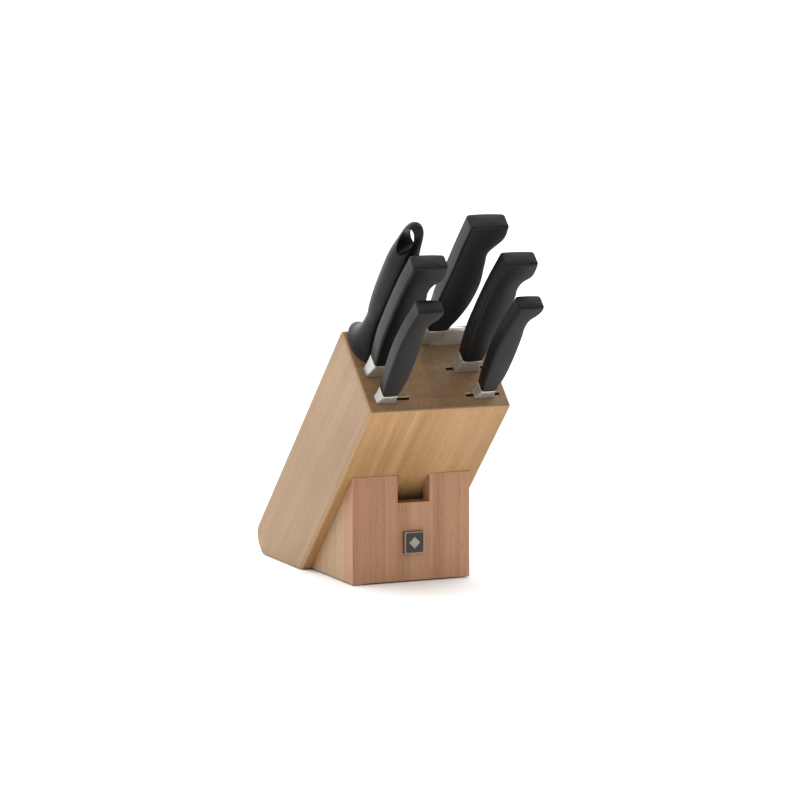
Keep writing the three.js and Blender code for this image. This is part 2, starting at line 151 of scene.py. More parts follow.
BLADE_STEPS = 48
BOLSTER_STEPS = 18
HEEL_STEPS = 30
BUTT_DOME = 0.5
BUTT_ROUND_STEPS = 8
BUTT_SHARES = (0.8, 0.5, 0.2)  # sizes of the rings that close the butt
JOINT_ROUND = 0.35
FORGING_ROUND = 0.25
HEEL_FOOT, HEEL_CREST = 1.5, 0.7  # the web's foot and crest, as shares of its half thickness
GRIND, CUTTING_EDGE = 1.4, 0.04  # width of the ground bevel, and half thickness of its edge

# ---- steel ----
STEEL_X = -40.9
ROD_RADIUS = 5.0
ROD_LENGTH = 225.0
ROD_RIDGES = 36
RIDGE_STEPS = 4
RIDGE_DEPTH = 0.16
ROD_BORE = 5.8
LOOP_TURN = math.radians(30)
LOOP_HOLE = {"across": 5.6, "along": 11.5, "centre": 116.5, "round": 0.9, "reach": 30}
GUARD_TOP = 28
GRIP_SIDES = 64
HOLE_SIDES = 48
# Rings of the steel's handle: u, half width in x, half width in t, centre in t.
STEEL_RINGS = [
    (SEAT, 11, 18.1, 1.6), (1.3, 11.6, 18.9, 1.6), (2.8, 11.3, 18.2, 1.6), (6, 10.2, 14, 1.2),
    (11, 9, 11, 0.8), (18, 8, 8.8, 0.3), (25, 7.6, 7.8, 0), (31, 7.5, 7.5, 0), (42, 8.9, 8.9, 0),
    (54, 10, 10, 0), (68, 10.6, 10.6, 0), (84, 10.9, 10.9, 0), (94, 10.6, 10.9, 0), (102, 9.6, 10.3, 0),
    (110, 8.6, 9.2, 0), (117, 7.6, 8.3, 0), (122, 6.9, 7.5, 0), (126, 5.9, 6.3, 0), (129, 4.3, 4.6, 0),
    (130.6, 2.6, 2.8, 0), (131.3, 1.1, 1.2, 0),
]

# ---- camera ----
VIEW_AZIMUTH = math.radians(-23.7)
VIEW_ELEVATION = math.radians(7.15)
VIEW_DISTANCE = 2.555
VIEW_TARGET = Vector((-9.05, FRONT_Y, 133.6)) * MM
LENS = 159.5
VIEW_CLIP = 200

# ---- light ----
# The direction that each wash of light comes from, and its brightness.
WALLS = [((0, 0.92, 0.38), 2.0), ((-1, 0, 0), 0.08), ((0, -1, 0), 0.2), ((0, 0, 1), 1.35)]
AMBIENT = 0.06
FLOOR_RADIUS = 80

# Places of the block's slanted axes, and of the stand's upright ones, in the scene.
TOP_FRONT = Vector((0, FRONT_Y + TOP_EDGE[0], TOP_EDGE[1])) * MM
SLANTED = Matrix.Translation(TOP_FRONT) @ Matrix.Rotation(SLANT, 4, "X")
UPRIGHT = Matrix.Translation(Vector((0, FRONT_Y, 0)) * MM)


# ---- numbers ----
def along(pairs, level):
    """The value at a level, on a smooth curve through pairs of level and value."""
    levels = [pair[0] for pair in pairs]
    values = [pair[1] for pair in pairs]
    level = min(max(level, levels[0]), levels[-1])
    high = next((i for i in range(1, len(levels)) if level <= levels[i]), len(levels) - 1)
    low = high - 1
    start, end = levels[low], levels[high]
    before = levels[low - 1] if low > 0 else 2 * start - end
    after = levels[high + 1] if high + 1 < len(levels) else 2 * end - start
    value_before = values[low - 1] if low > 0 else values[high]
    value_after = values[high + 1] if high + 1 < len(levels) else values[low]
    pull = 0.5 * (end - start) / (start - before)
    push = 0.5 * (end - start) / (after - end)
    p = (level - start) / (end - start)
    weights = (
        pull * (-p**3 + 2 * p**2 - p),
        (1 + pull) * p**3 - (1.5 + 2 * pull) * p**2 - (0.5 - pull) * p + 1,
        -(1 + push) * p**3 + (1.5 + push) * p**2 + 0.5 * p,
        push * (p**3 - p**2),
    )
    return sum(w * v for w, v in zip(weights, (value_before, values[low], values[high], value_after)))


def spread(start, end, count):
    """Numbers from start to end in count equal steps."""
    return [start + (end - start) * i / count for i in range(count + 1)]


def linear(red, green, blue):
    """A colour given as 0 to 255 sRGB values, as the linear colour that shaders use."""
    def channel(value):
        share = value / 255
        return share / 12.92 if share <= 0.04045 else ((share + 0.055) / 1.055) ** 2.4
    return (channel(red), channel(green), channel(blue), 1.0)


# ---- meshes ----
def skin(bm, rings):
    """Quads between rings of points in millimetres, with a face over each end."""
    rows = [[bm.verts.new(Vector(point) * MM) for point in ring] for ring in rings]
    count = len(rows[0])
    for lower, upper in zip(rows, rows[1:]):
        for i in range(count):
            j = (i + 1) % count
            bm.faces.new((lower[i], lower[j], upper[j], upper[i]))
    bm.faces.new(tuple(reversed(rows[0])))
    bm.faces.new(tuple(rows[-1]))


def finished(name, bm, look, body, node, place=SLANTED, sharp=35):
    """The mesh, moved to its place, as a piece that stands for a CAD node and rides on its body."""
    bmesh.ops.transform(bm, matrix=place, verts=bm.verts)
    bmesh.ops.recalc_face_normals(bm, faces=bm.faces)
    mesh = bpy.data.meshes.new(name)
    bm.to_mesh(mesh)
    bm.free()
    for polygon in mesh.polygons:
        polygon.use_smooth = True
    mesh.set_sharp_from_angle(angle=math.radians(sharp))
    mesh.materials.append(look)
    piece = bpy.data.objects.new(name, mesh)
    bpy.context.scene.collection.objects.link(piece)
    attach(piece, body)
    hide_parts(node)
    return piece


def slanted_centre(polygon):
    """A face's centre in the block's slanted axes, in millimetres."""
    return SLANTED.inverted() @ polygon.center / MM


def even_normals(piece):
    """Shading that follows the large faces, with sharp edges kept."""
    modifier = piece.modifiers.new("even_normals", "WEIGHTED_NORMAL")
    modifier.keep_sharp = True
    modifier.weight = 100


def soft_edges(piece, width, angle=40, segments=2):
    """A small rounding along every edge sharper than angle."""
    modifier = piece.modifiers.new("soft_edges", "BEVEL")
    modifier.width = width * MM
    modifier.segments = segments
    modifier.limit_method = "ANGLE"
    modifier.angle_limit = math.radians(angle)
    even_normals(piece)


def slice_off(bm, point, normal):
    """Cuts away what is beyond a plane, and closes the cut."""
    cut = bmesh.ops.bisect_plane(
        bm, geom=bm.verts[:] + bm.edges[:] + bm.faces[:], plane_co=Vector(point) * MM,
        plane_no=normal, clear_outer=True,
    )
    edges = [item for item in cut["geom_cut"] if isinstance(item, bmesh.types.BMEdge)]
    if edges:
        bmesh.ops.holes_fill(bm, edges=edges, sides=0)


# ---- block boards ----
def edge_inset(u):
    """How far the rounded top edge is in from the block's sides at this height."""
    rise = max(0.0, EDGE_RADIUS + u)
    return EDGE_RADIUS - math.sqrt(max(0.0, EDGE_RADIUS**2 - rise**2))


def heel_inset(u):
    """How far the rounded heel is in from the block's back at this height."""
    drop = max(0.0, -LENGTH + HEEL_RADIUS - u)
    return HEEL_RADIUS - math.sqrt(max(0.0, HEEL_RADIUS**2 - drop**2))


def corner(x, t, radius, first_turn):
    """A quarter turn of points round a convex corner, for a section run counter-clockwise."""
    side_x = 1 if first_turn in (-90, 0) else -1
    side_t = 1 if first_turn in (0, 90) else -1
    centre = (x - side_x * radius, t - side_t * radius)
    return [
        (centre[0] + radius * math.cos(math.radians(first_turn + turn)),
         centre[1] + radius * math.sin(math.radians(first_turn + turn)))
        for turn in spread(0, 90, ARC_STEPS)
    ]


def board_ring(name, front, back, u):
    """The board's section at one height, with the grooves and the steel's bore cut in."""
    inset = edge_inset(u)
    x = HALF_WIDTH - inset
    outer_front, outer_back = name == "front_board", name == "back_board"
    t0 = front + inset if outer_front else front + SEAM
    t1 = back - inset - heel_inset(u) if outer_back else back - SEAM
    radius = max(EDGE_RADIUS - inset, 0.05)
    flare = MOUTH_CHAMFER + max(u, -MOUTH_CHAMFER)
    ring = corner(-x, t0, radius, 180) if outer_front else [(-x, t0)]
    if name == "back_board":
        ring += [(px, max(pt, t0)) for px, pt in bore_arc(t0, 1)]
    for board, start, end, depth in SLOTS:
        if board == name:
            ring += [(start - flare, t0), (start - flare, t0 + depth + flare),
                     (end + flare, t0 + depth + flare), (end + flare, t0)]
    ring += corner(x, t0, radius, -90) if outer_front else [(x, t0)]
    ring += corner(x, t1, radius, 0) if outer_back else [(x, t1)]
    if name == "rear_core_board":
        ring += [(px, min(pt, t1)) for px, pt in bore_arc(t1, -1)]
    ring += corner(-x, t1, radius, 90) if outer_back else [(-x, t1)]
    return [(px, pt, u) for px, pt in ring]


def bore_arc(face, side):
    """The part of the steel's bore on one side of a board joint, as points along the board's edge."""
    rise = face - BACK_ROW
    reach = math.degrees(math.asin(rise / ROD_BORE))
    first, last = (180 - reach, reach) if side > 0 else (reach, -180 - reach)
    return [
        (STEEL_X + ROD_BORE * math.cos(turn), BACK_ROW + ROD_BORE * math.sin(turn))
        for turn in map(math.radians, spread(first, last, BORE_STEPS))
    ]


def in_slot(name, point):
    """Whether a face's centre is on the wall of a slot or of the steel's bore, below its mouth."""
    from_bore = math.hypot(point.x - STEEL_X, point.y - BACK_ROW)
    in_bore = name in ("rear_core_board", "back_board") and from_bore < ROD_BORE + WALL_REACH
    in_groove = any(
        board == name and start - WALL_REACH < point.x < end + WALL_REACH
        and point.y < FRONTS[name] + depth + WALL_REACH
        for board, start, end, depth in SLOTS
    )
    return 1 - LENGTH < point.z < -MOUTH_CHAMFER and (in_bore or in_groove)


def build_board(name, front, back, look, slot_shade_look):
    """One board of the block, from t = front to t = back, cut off level with the ground."""
    heights = {-EDGE_RADIUS * (1 - math.cos(turn)) for turn in spread(0, math.pi / 2, ARC_STEPS)}
    heights |= {-MOUTH_CHAMFER} | set(spread(-10, -LENGTH + HEEL_RADIUS, 6))
    heights |= {-LENGTH + HEEL_RADIUS * (1 - math.sin(turn)) for turn in spread(0, math.pi / 2, ARC_STEPS)}
    bm = bmesh.new()
    skin(bm, [board_ring(name, front, back, u) for u in sorted(heights)])
    ground = (FLOOR_GAP - TOP_EDGE[1]) / math.cos(SLANT)
    slice_off(bm, (0, 0, ground), Vector((0, -1, -1)).normalized())
    piece = finished(f"{name}_wood", bm, look, "block", name, sharp=30)
    piece.data.materials.append(slot_shade_look)
    # faces on the walls of the slots and the bore get the dark slot material, which is painted shade
    for polygon in piece.data.polygons:
        if in_slot(name, slanted_centre(polygon)):
            polygon.material_index = 1
    even_normals(piece)


# ---- stand ----
def under_block(y):
    """Height of the leaning block's underside, less a hairline, at y behind the stand's front."""
    return TOP_EDGE[1] + TOP_EDGE[0] - y - 2 * JOINT_GAP


def build_panel(name, outline, y0, y1, look):
    """A panel with an outline in x and z, where no z means the slope under the leaning block."""
    bm = bmesh.new()
    skin(bm, [[(x, y, under_block(y) if z is None else z) for x, z in outline] for y in (y0, y1)])
    piece = finished(f"{name}_wood", bm, look, "block", name, UPRIGHT)
    soft_edges(piece, PANEL_ROUND)


def build_stand(front_look, side_look):
    left, right, floor = NOTCH["left"], NOTCH["right"], NOTCH["floor"]
    outline = [(-STAND_HALF, FLOOR_GAP), (STAND_HALF, FLOOR_GAP), (STAND_HALF, None), (right, None),
               (right, floor), (left, floor), (left, None), (-STAND_HALF, None)]
    build_panel("stand_front_panel", outline, 0, FRONT_PANEL, front_look)
    back = under_block(0) - FLOOR_GAP - 1
    inner = STAND_HALF - SIDE_PANEL
    for name, x0, x1 in (("stand_left_panel", -STAND_HALF, -inner), ("stand_right_panel", inner, STAND_HALF)):
        outline = [(x0, FLOOR_GAP), (x1, FLOOR_GAP), (x1, None), (x0, None)]
        build_panel(name, outline, FRONT_PANEL + JOINT_GAP, back, side_look)


def badge_ring(inset, radius, y):
    """The badge's outline, drawn in by inset."""
    half, tall = BADGE["half"] - inset, BADGE["tall"] - inset
    ring = corner(half, tall, radius, 0) + corner(-half, tall, radius, 90)
    ring += corner(-half, -tall, radius, 180) + corner(half, -tall, radius, -90)
    return [(x + BADGE["x"], y, z + BADGE["z"]) for x, z in ring]


def build_badge(rim_look, face_look):
    """A plate with a bevelled rim round a sunk dark face, and a plain lozenge on it."""
    radius, rim = BADGE["corner"], BADGE["rim"]
    face = -JOINT_GAP - BADGE["plate"]
    front = face - BADGE["relief"]
    sink = face + BADGE["relief"] / 2
    bm = bmesh.new()
    skin(bm, [badge_ring(inset, radius, y) for inset, y in (
        (0, -JOINT_GAP), (0, front + 0.35), (0.12, front + 0.1), (0.35, front), (rim - 0.15, front),
        (rim, front + 0.12), (rim + 0.1, sink),
    )])
    mark, size = [(0, -1), (1, 0), (0, 1), (-1, 0)], BADGE["mark"]
    skin(bm, [
        [(BADGE["x"] + dx * reach, y, BADGE["z"] + dz * reach) for dx, dz in mark]
        for reach, y in ((size, sink + 0.1), (size, front + 0.12), (size - 0.3, front + 0.02))
    ])
    piece = finished("badge_plate", bm, rim_look, "block", "badge", UPRIGHT, sharp=25)
    piece.data.materials.append(face_look)
    for polygon in piece.data.polygons:
        middle = UPRIGHT.inverted() @ polygon.center / MM
        if abs(polygon.normal.y) > 0.9 and abs(middle.y - sink) < 0.05:
            polygon.material_index = 1
    even_normals(piece)


# ---- knives ----
def section(left, right, depth, radius, u, crown=0.0):
    """A rounded rectangle in x and t whose two broad faces swell toward a ridge."""
    radius = min(radius, (right - left) / 2 - 0.1, depth / 2 - 0.1)
    half = depth / 2
    ring = corner(right, half, radius, 0)
    ring += [(x, half) for x in spread(right - radius, left + radius, FACE_STEPS)[1:-1]]
    ring += corner(left, half, radius, 90) + corner(left, -half, radius, 180)
    ring += [(x, -half) for x in spread(left + radius, right - radius, FACE_STEPS)[1:-1]]
    ring += corner(right, -half, radius, -90)
    ridge = left + (right - left) * RIDGE
    reach = max(right - ridge, ridge - left)
    return [(x, t * (1 - crown * ((x - ridge) / reach) ** 2), u) for x, t in ring]


def at(x, row, ring):
    """A ring moved to its knife's place in x and t."""
    return [(px + x, pt + row, pu) for px, pt, pu in ring]


def profile(part, u, inset=0.0):
    """A bolster's or grip's spine, belly and thickness at one height."""
    return (along(part["spine"], u) + inset, along(part["belly"], u) - inset,
            along(part["depth"], u) - 2 * inset)


def build_handle(name, x, row, style, look):
    """The moulded grip, its edge eased where it meets the bolster and its butt softly domed."""
    grip, start = style["grip"], style["bolster"]["top"] + JOINT_GAP
    radius = grip["corner"]
    shoulder = grip["top"] - BUTT_DOME - radius
    levels = [(start, JOINT_ROUND), (start + 0.15, 0.12), (start + JOINT_ROUND, 0.0)]
    levels += [(u, 0.0) for u in spread(start + 2, shoulder, GRIP_STEPS)]
    levels += [(shoulder + radius * math.sin(turn), radius * (1 - math.cos(turn)))
               for turn in spread(0, math.pi / 2, BUTT_ROUND_STEPS)[1:]]
    rings = [section(*profile(grip, u, inset), radius, u, FACE_CROWN) for u, inset in levels]
    last = rings[-1]
    middle = [sum(point[i] for point in last) / len(last) for i in range(2)]
    for scale in BUTT_SHARES:
        height = grip["top"] - BUTT_DOME * scale**2
        rings.append([(middle[0] + (px - middle[0]) * scale, middle[1] + (pt - middle[1]) * scale, height)
                      for px, pt, _ in last])
    bm = bmesh.new()
    skin(bm, [at(x, row, ring) for ring in rings])
    finished(f"{name}_grip", bm, look, name, f"{name}_handle", sharp=50)


def blade_ring(blade, u):
    """The blade's section: an eased spine, two tapered flanks and a ground edge."""
    spine, edge, half = along(blade["spine"], u), along(blade["edge"], u), blade["thickness"] / 2
    width = edge - spine
    ground = min(GRIND, width * 0.3)
    ease = min(FORGING_ROUND, width * 0.2)
    upper = [(spine, half - ease), (spine + ease, half), (spine + width * 0.45, half * 0.92),
             (edge - ground, 0.3), (edge, CUTTING_EDGE)]
    lower = [(px, -pt) for px, pt in reversed(upper)]
    return [(px, pt, u) for px, pt in lower + upper]


def heel_ring(heel, x):
    """A section of the web, at one x, in t and u, with a rounded top."""
    half, top = along([h[:2] for h in heel], x), along([(h[0], h[2]) for h in heel], x)
    crest = half * HEEL_CREST
    arc = [(crest * math.cos(turn), top - crest * (1 - math.sin(turn))) for turn in spread(0, math.pi, 10)]
    return [(x, t, u) for t, u in [(-half * HEEL_FOOT, SEAT), (half * HEEL_FOOT, SEAT)] + arc]


def build_blade(name, x, row, style, look):
    """The forged blade and bolster."""
    blade, bolster = style["blade"], style["bolster"]
    bm = bmesh.new()
    skin(bm, [at(x, row, blade_ring(blade, u)) for u in spread(-blade["length"], 2, BLADE_STEPS)])
    levels = [(SEAT, FORGING_ROUND), (SEAT + FORGING_ROUND, 0.0)]
    levels += [(u, 0.0) for u in spread(1, bolster["top"] - 0.3, BOLSTER_STEPS)]
    levels += [(bolster["top"], FORGING_ROUND)]
    skin(bm, [at(x, row, section(*profile(bolster, u, inset), style["grip"]["corner"], u, FACE_CROWN))
              for u, inset in levels])
    if "heel" in bolster:
        heel = bolster["heel"]
        skin(bm, [at(x, row, heel_ring(heel, px)) for px in spread(heel[0][0], heel[-1][0], HEEL_STEPS)])
    finished(f"{name}_forging", bm, look, name, f"{name}_blade", sharp=32)


# ---- steel ----
def rod_ring(u, radius, ridge=0.0):
    """The rod's section, with ridges as deep as ridge."""
    ring = []
    for i in range(ROD_RIDGES * RIDGE_STEPS):
        turn = 2 * math.pi * i / (ROD_RIDGES * RIDGE_STEPS)
        reach = radius - ridge * (0.5 - 0.5 * math.cos(ROD_RIDGES * turn))
        ring.append((STEEL_X + reach * math.cos(turn), BACK_ROW + reach * math.sin(turn), u))
    return ring


def build_rod(look):
    """The round steel with fine ridges along it and a tapered end."""
    tip = [(0, 1.6), (0.3, 2.6), (1.2, 3.6), (4, ROD_RADIUS)]
    rings = [rod_ring(rise - ROD_LENGTH, radius) for rise, radius in tip]
    rings += [rod_ring(u, ROD_RADIUS, RIDGE_DEPTH) for u in (7 - ROD_LENGTH, -100, -9)]
    rings += [rod_ring(u, ROD_RADIUS) for u in (-6, 0)]
    bm = bmesh.new()
    skin(bm, rings)
    finished("steel_rod_ridged", bm, look, "steel", "steel_rod", sharp=50)


def steel_ring(u):
    """The steel handle's oval section, which is turned above the guard so that the loop faces aside."""
    across, deep, shift = (along([(ring[0], ring[i]) for ring in STEEL_RINGS], u) for i in (1, 2, 3))
    turn = LOOP_TURN if u > GUARD_TOP else 0.0
    ring = []
    for i in range(GRIP_SIDES):
        angle = 2 * math.pi * i / GRIP_SIDES - turn
        px, pt = across * math.cos(angle), deep * math.sin(angle)
        ring.append((STEEL_X + px * math.cos(turn) - pt * math.sin(turn),
                     BACK_ROW + shift + px * math.sin(turn) + pt * math.cos(turn), u))
    return ring


def hole_cutter():
    """An oval bar through the handle, to cut the hanging hole with."""
    bm = bmesh.new()
    rings = []
    for reach in (-LOOP_HOLE["reach"], LOOP_HOLE["reach"]):
        ring = []
        for i in range(HOLE_SIDES):
            turn = 2 * math.pi * i / HOLE_SIDES
            side = LOOP_HOLE["across"] * math.cos(turn)
            u = LOOP_HOLE["centre"] + LOOP_HOLE["along"] * math.sin(turn)
            ring.append((STEEL_X + reach * math.cos(LOOP_TURN) - side * math.sin(LOOP_TURN),
                         BACK_ROW + reach * math.sin(LOOP_TURN) + side * math.cos(LOOP_TURN), u))
        rings.append(ring)
    skin(bm, rings)
    bmesh.ops.transform(bm, matrix=SLANTED, verts=bm.verts)
    bmesh.ops.recalc_face_normals(bm, faces=bm.faces)
    mesh = bpy.data.meshes.new("hole_cutter")
    bm.to_mesh(mesh)
    bm.free()
    cutter = bpy.data.objects.new("hole_cutter", mesh)
    bpy.context.scene.collection.objects.link(cutter)
    return cutter


def build_steel_handle(look):
    """The steel's moulded handle, with its guard and the pierced hanging loop."""
    bm = bmesh.new()
    levels = spread(SEAT, 3, 8) + spread(3.4, 30, 28) + spread(31, 120, 60) + spread(120.6, 131.3, 22)
    skin(bm, [steel_ring(u) for u in levels])
    piece = finished("steel_grip", bm, look, "steel", "steel_handle", sharp=40)
    cutter = hole_cutter()
    hole = piece.modifiers.new("hole", "BOOLEAN")
    hole.operation, hole.solver, hole.object = "DIFFERENCE", "EXACT", cutter
    bpy.context.view_layer.update()
    evaluated = piece.evaluated_get(bpy.context.evaluated_depsgraph_get())
    carved = bpy.data.meshes.new_from_object(evaluated)
    piece.modifiers.clear()
    piece.data = carved
    bpy.data.objects.remove(cutter)
    for polygon in carved.polygons:
        polygon.use_smooth = True
    carved.set_sharp_from_angle(angle=math.radians(40))
    soft_edges(piece, LOOP_HOLE["round"], angle=38, segments=3)


# ---- materials ----
class Look:
    """One material, and a short way to write its nodes."""

    def __init__(self, name, roughness=0.5, metallic=0.0, specular=0.5, slanted=False):
        self.material = bpy.data.materials.new(name)
        self.material.use_nodes = True
        self.tree = self.material.node_tree
        self.shader = self.tree.nodes["Principled BSDF"]
        self.shader.inputs["Roughness"].default_value = roughness
        self.shader.inputs["Metallic"].default_value = metallic
        self.shader.inputs["Specular IOR Level"].default_value = specular
        place = self.node("ShaderNodeTexCoord")
        self.position, self.normal = place.outputs["Object"], place.outputs["Normal"]
        if slanted:
            self.position = self.turned(self.position, TOP_FRONT)
            self.normal = self.turned(self.normal, (0, 0, 0))

    def node(self, kind, **settings):
        made = self.tree.nodes.new(kind)
        for key, value in settings.items():
            setattr(made, key, value)
        return made

    def feed(self, socket, value):
        """Links a socket, or sets a plain value, into an input."""
        if isinstance(value, bpy.types.NodeSocket):
            self.tree.links.new(value, socket)
        else:
            socket.default_value = value

    def turned(self, vector, origin):
        """A vector measured from origin, turned from the scene's axes to the block's slanted ones."""
        shift = self.node("ShaderNodeVectorMath", operation="SUBTRACT")
        self.feed(shift.inputs[0], vector)
        shift.inputs[1].default_value = origin
        made = self.node("ShaderNodeVectorRotate", rotation_type="X_AXIS")
        made.inputs["Angle"].default_value = -SLANT
        self.feed(made.inputs["Vector"], shift.outputs["Vector"])
        return made.outputs["Vector"]

    def math(self, operation, first, second=0.0, clamp=False):
        made = self.node("ShaderNodeMath", operation=operation, use_clamp=clamp)
        self.feed(made.inputs[0], first)
        self.feed(made.inputs[1], second)
        return made.outputs[0]

    def total(self, *weighted):
        """The sum of pairs of value and weight, with each value taken about a half."""
        result = 0.5
        for value, weight in weighted:
            centred = self.math("MULTIPLY", self.math("SUBTRACT", value, 0.5), weight)
            result = self.math("ADD", result, centred)
        return self.math("MULTIPLY", result, 1.0, clamp=True)

    def between(self, value, low, high, to_low=0.0, to_high=1.0):
        """A smooth step from to_low to to_high as the value goes from low to high."""
        made = self.node("ShaderNodeMapRange", interpolation_type="SMOOTHSTEP")
        for key, number in (("From Min", low), ("From Max", high), ("To Min", to_low), ("To Max", to_high)):
            made.inputs[key].default_value = number
        self.feed(made.inputs["Value"], value)
        return made.outputs["Result"]

    def mix(self, factor, first, second, blend_type="MIX"):
        made = self.node("ShaderNodeMix", data_type="RGBA", blend_type=blend_type)
        self.feed(made.inputs[0], factor)
        self.feed(made.inputs[6], first)
        self.feed(made.inputs[7], second)
        return made.outputs[2]

    def axes(self, vector):
        made = self.node("ShaderNodeSeparateXYZ")
        self.feed(made.inputs[0], vector)
        return made.outputs

    def noise(self, size, detail=2.0, roughness=0.55, distortion=0.0, seed=0.0):
        """Noise whose blobs are about size = (x, y, z) millimetres."""
        stretch = self.node("ShaderNodeVectorMath", operation="MULTIPLY_ADD")
        self.feed(stretch.inputs[0], self.position)
        stretch.inputs[1].default_value = [1 / (length * MM) for length in size]
        stretch.inputs[2].default_value = (seed, seed * 1.7, seed * 2.3)
        made = self.node("ShaderNodeTexNoise")
        self.feed(made.inputs["Vector"], stretch.outputs[0])
        for key, number in (("Scale", 1.0), ("Detail", detail), ("Roughness", roughness),
                            ("Distortion", distortion)):
            made.inputs[key].default_value = number
        return made.outputs["Fac"]

    def strips(self, position, width, seed=0.0):
        """Strips of uneven width along one axis: (a random number for each, distance from its edge)."""
        across = self.math("ADD", self.math("MULTIPLY", position, 1 / (width * MM)), seed)
        cell = self.node("ShaderNodeTexVoronoi", voronoi_dimensions="1D")
        edge = self.node("ShaderNodeTexVoronoi", voronoi_dimensions="1D", feature="DISTANCE_TO_EDGE")
        for made in (cell, edge):
            self.feed(made.inputs["W"], across)
            made.inputs["Scale"].default_value = 1.0
            made.inputs["Randomness"].default_value = 0.75
        red = self.node("ShaderNodeSeparateColor")
        self.feed(red.inputs[0], cell.outputs["Color"])
        return red.outputs[0], edge.outputs["Distance"]

    def edges(self):
        """One on rounded edges, nought on faces square to the axes."""
        x, y, z = self.axes(self.normal)[:3]
        size = [self.math("ABSOLUTE", axis) for axis in (x, y, z)]
        largest = self.math("MAXIMUM", self.math("MAXIMUM", size[0], size[1]), size[2])
        return self.between(largest, 0.72, 0.99, 1.0, 0.0)

    def bump(self, height, distance, strength=1.0):
        made = self.node("ShaderNodeBump")
        made.inputs["Strength"].default_value = strength
        made.inputs["Distance"].default_value = distance * MM
        self.feed(made.inputs["Height"], height)
        self.tree.links.new(made.outputs["Normal"], self.shader.inputs["Normal"])

    def colour(self, value):
        self.feed(self.shader.inputs["Base Color"], value)

    def roughness(self, value):
        self.feed(self.shader.inputs["Roughness"], value)


def block_bamboo(seed):
    """Laminated bamboo with its fibres along u: sides a paler beige and faces a deeper gold, partly the
    wood's own cut and partly painted light, and brown end grain.
    """
    look = Look("block_bamboo", specular=0.3, slanted=True)
    x, t, _ = look.axes(look.position)[:3]
    broad = look.noise((7, 7, 230), detail=3, seed=seed)
    fibre = look.noise((1.1, 1.1, 60), detail=3, roughness=0.65, seed=seed + 3)
    dash = look.between(look.noise((0.8, 0.8, 9), detail=1, seed=seed + 5), 0.6, 0.72)
    cloud = look.noise((60, 60, 90), detail=1, seed=seed + 9)
    strip, strip_edge = look.strips(x, 11, seed)
    layer, _ = look.strips(t, 6, seed + 40)
    nx, nt, nu = [look.math("ABSOLUTE", axis) for axis in look.axes(look.normal)[:3]]
    face = look.between(nt, 0.6, 0.9)
    end = look.between(nu, 0.6, 0.9)
    side_tone = look.total((broad, 0.95), (fibre, 0.55), (cloud, 0.6), (layer, 0.16))
    face_tone = look.total((broad, 1.2), (fibre, 0.55), (cloud, 0.8), (strip, 0.14))
    # partly painted light: the sides' paler, greyer beige is partly the edge grain and partly a painted sheen
    # of the light from the left
    side = look.mix(side_tone, linear(130, 102, 72), linear(166, 136, 102))
    # partly painted light: the faces' deeper gold is partly the flat grain and partly painted warm bounce
    # light
    front = look.mix(face_tone, linear(142, 106, 66), linear(190, 150, 104))
    pores = look.between(look.noise((0.7, 1.4, 40), detail=1, seed=seed + 11), 0.52, 0.66)
    end_tone = look.total((strip, 0.25), (layer, 0.25), (look.noise((9, 5, 40), seed=seed + 13), 0.6))
    grain = look.mix(end_tone, linear(106, 80, 54), linear(146, 115, 81))
    grain = look.mix(look.math("MULTIPLY", pores, 0.45), grain, linear(92, 66, 42))
    # faces square to t take the golden tone with its painted bounce light, the rest the beige with its
    # painted sheen
    wood = look.mix(face, side, front)
    wood = look.mix(look.math("MULTIPLY", dash, 0.42), wood, linear(138, 103, 70))
    glue = look.math("MULTIPLY", look.between(strip_edge, 0.0, 0.035, 0.12, 0.0), face)
    wood = look.mix(glue, wood, linear(140, 100, 66))
    wood = look.mix(end, wood, grain)
    wood = look.mix(look.math("MULTIPLY", look.edges(), 0.3), wood, linear(200, 168, 130))
    look.colour(wood)
    look.roughness(look.total((fibre, 0.25), (dash, 0.1)))
    look.bump(look.total((fibre, 0.6), (dash, -0.6), (broad, 0.2)), 0.06, 0.6)
    return look.material


def slot_painted_shade():
    """Near-black wood inside the slots, its darkness painted shade."""
    look = Look("slot_painted_shade", roughness=0.8, specular=0.2, slanted=True)
    fibre = look.noise((1.1, 1.1, 60), detail=3)
    # painted shade: the dark wood colour stands for the shade deep inside the slots
    look.colour(look.mix(fibre, linear(44, 30, 20), linear(74, 52, 34)))
    look.bump(fibre, 0.08)
    return look.material


def stand_bamboo(name, axis, seed, dark, light, warm):
    """Upright bamboo strips of mixed tone, some warmer, glued side by side along one axis."""
    look = Look(name, specular=0.3)
    across = look.axes(look.position)[axis]
    strip, strip_edge = look.strips(across, 9.5, seed)
    hue, _ = look.strips(across, 14, seed + 20)
    broad = look.noise((4, 4, 160), detail=3, seed=seed + 1)
    fibre = look.noise((0.9, 0.9, 45), detail=3, roughness=0.65, seed=seed + 3)
    dash = look.between(look.noise((0.8, 0.8, 10), detail=1, seed=seed + 5), 0.6, 0.72)
    end = look.between(look.math("ABSOLUTE", look.axes(look.normal)[2]), 0.6, 0.9)
    tone = look.total((strip, 0.45), (broad, 0.8), (fibre, 0.45))
    wood = look.mix(tone, linear(*dark), linear(*light))
    wood = look.mix(look.between(hue, 0.3, 0.7, 0.0, 0.35), wood, linear(*warm))
    wood = look.mix(look.math("MULTIPLY", dash, 0.4), wood, linear(128, 88, 62))
    wood = look.mix(look.between(strip_edge, 0.0, 0.04, 0.28, 0.0), wood, linear(112, 76, 52))
    wood = look.mix(end, wood, linear(150, 114, 78))
    wood = look.mix(look.math("MULTIPLY", look.edges(), 0.3), wood, linear(214, 178, 138))
    look.colour(wood)
    look.roughness(look.total((fibre, 0.25), (strip, 0.1)))
    look.bump(look.total((fibre, 0.6), (dash, -0.6), (broad, 0.2)), 0.06, 0.6)
    return look.material


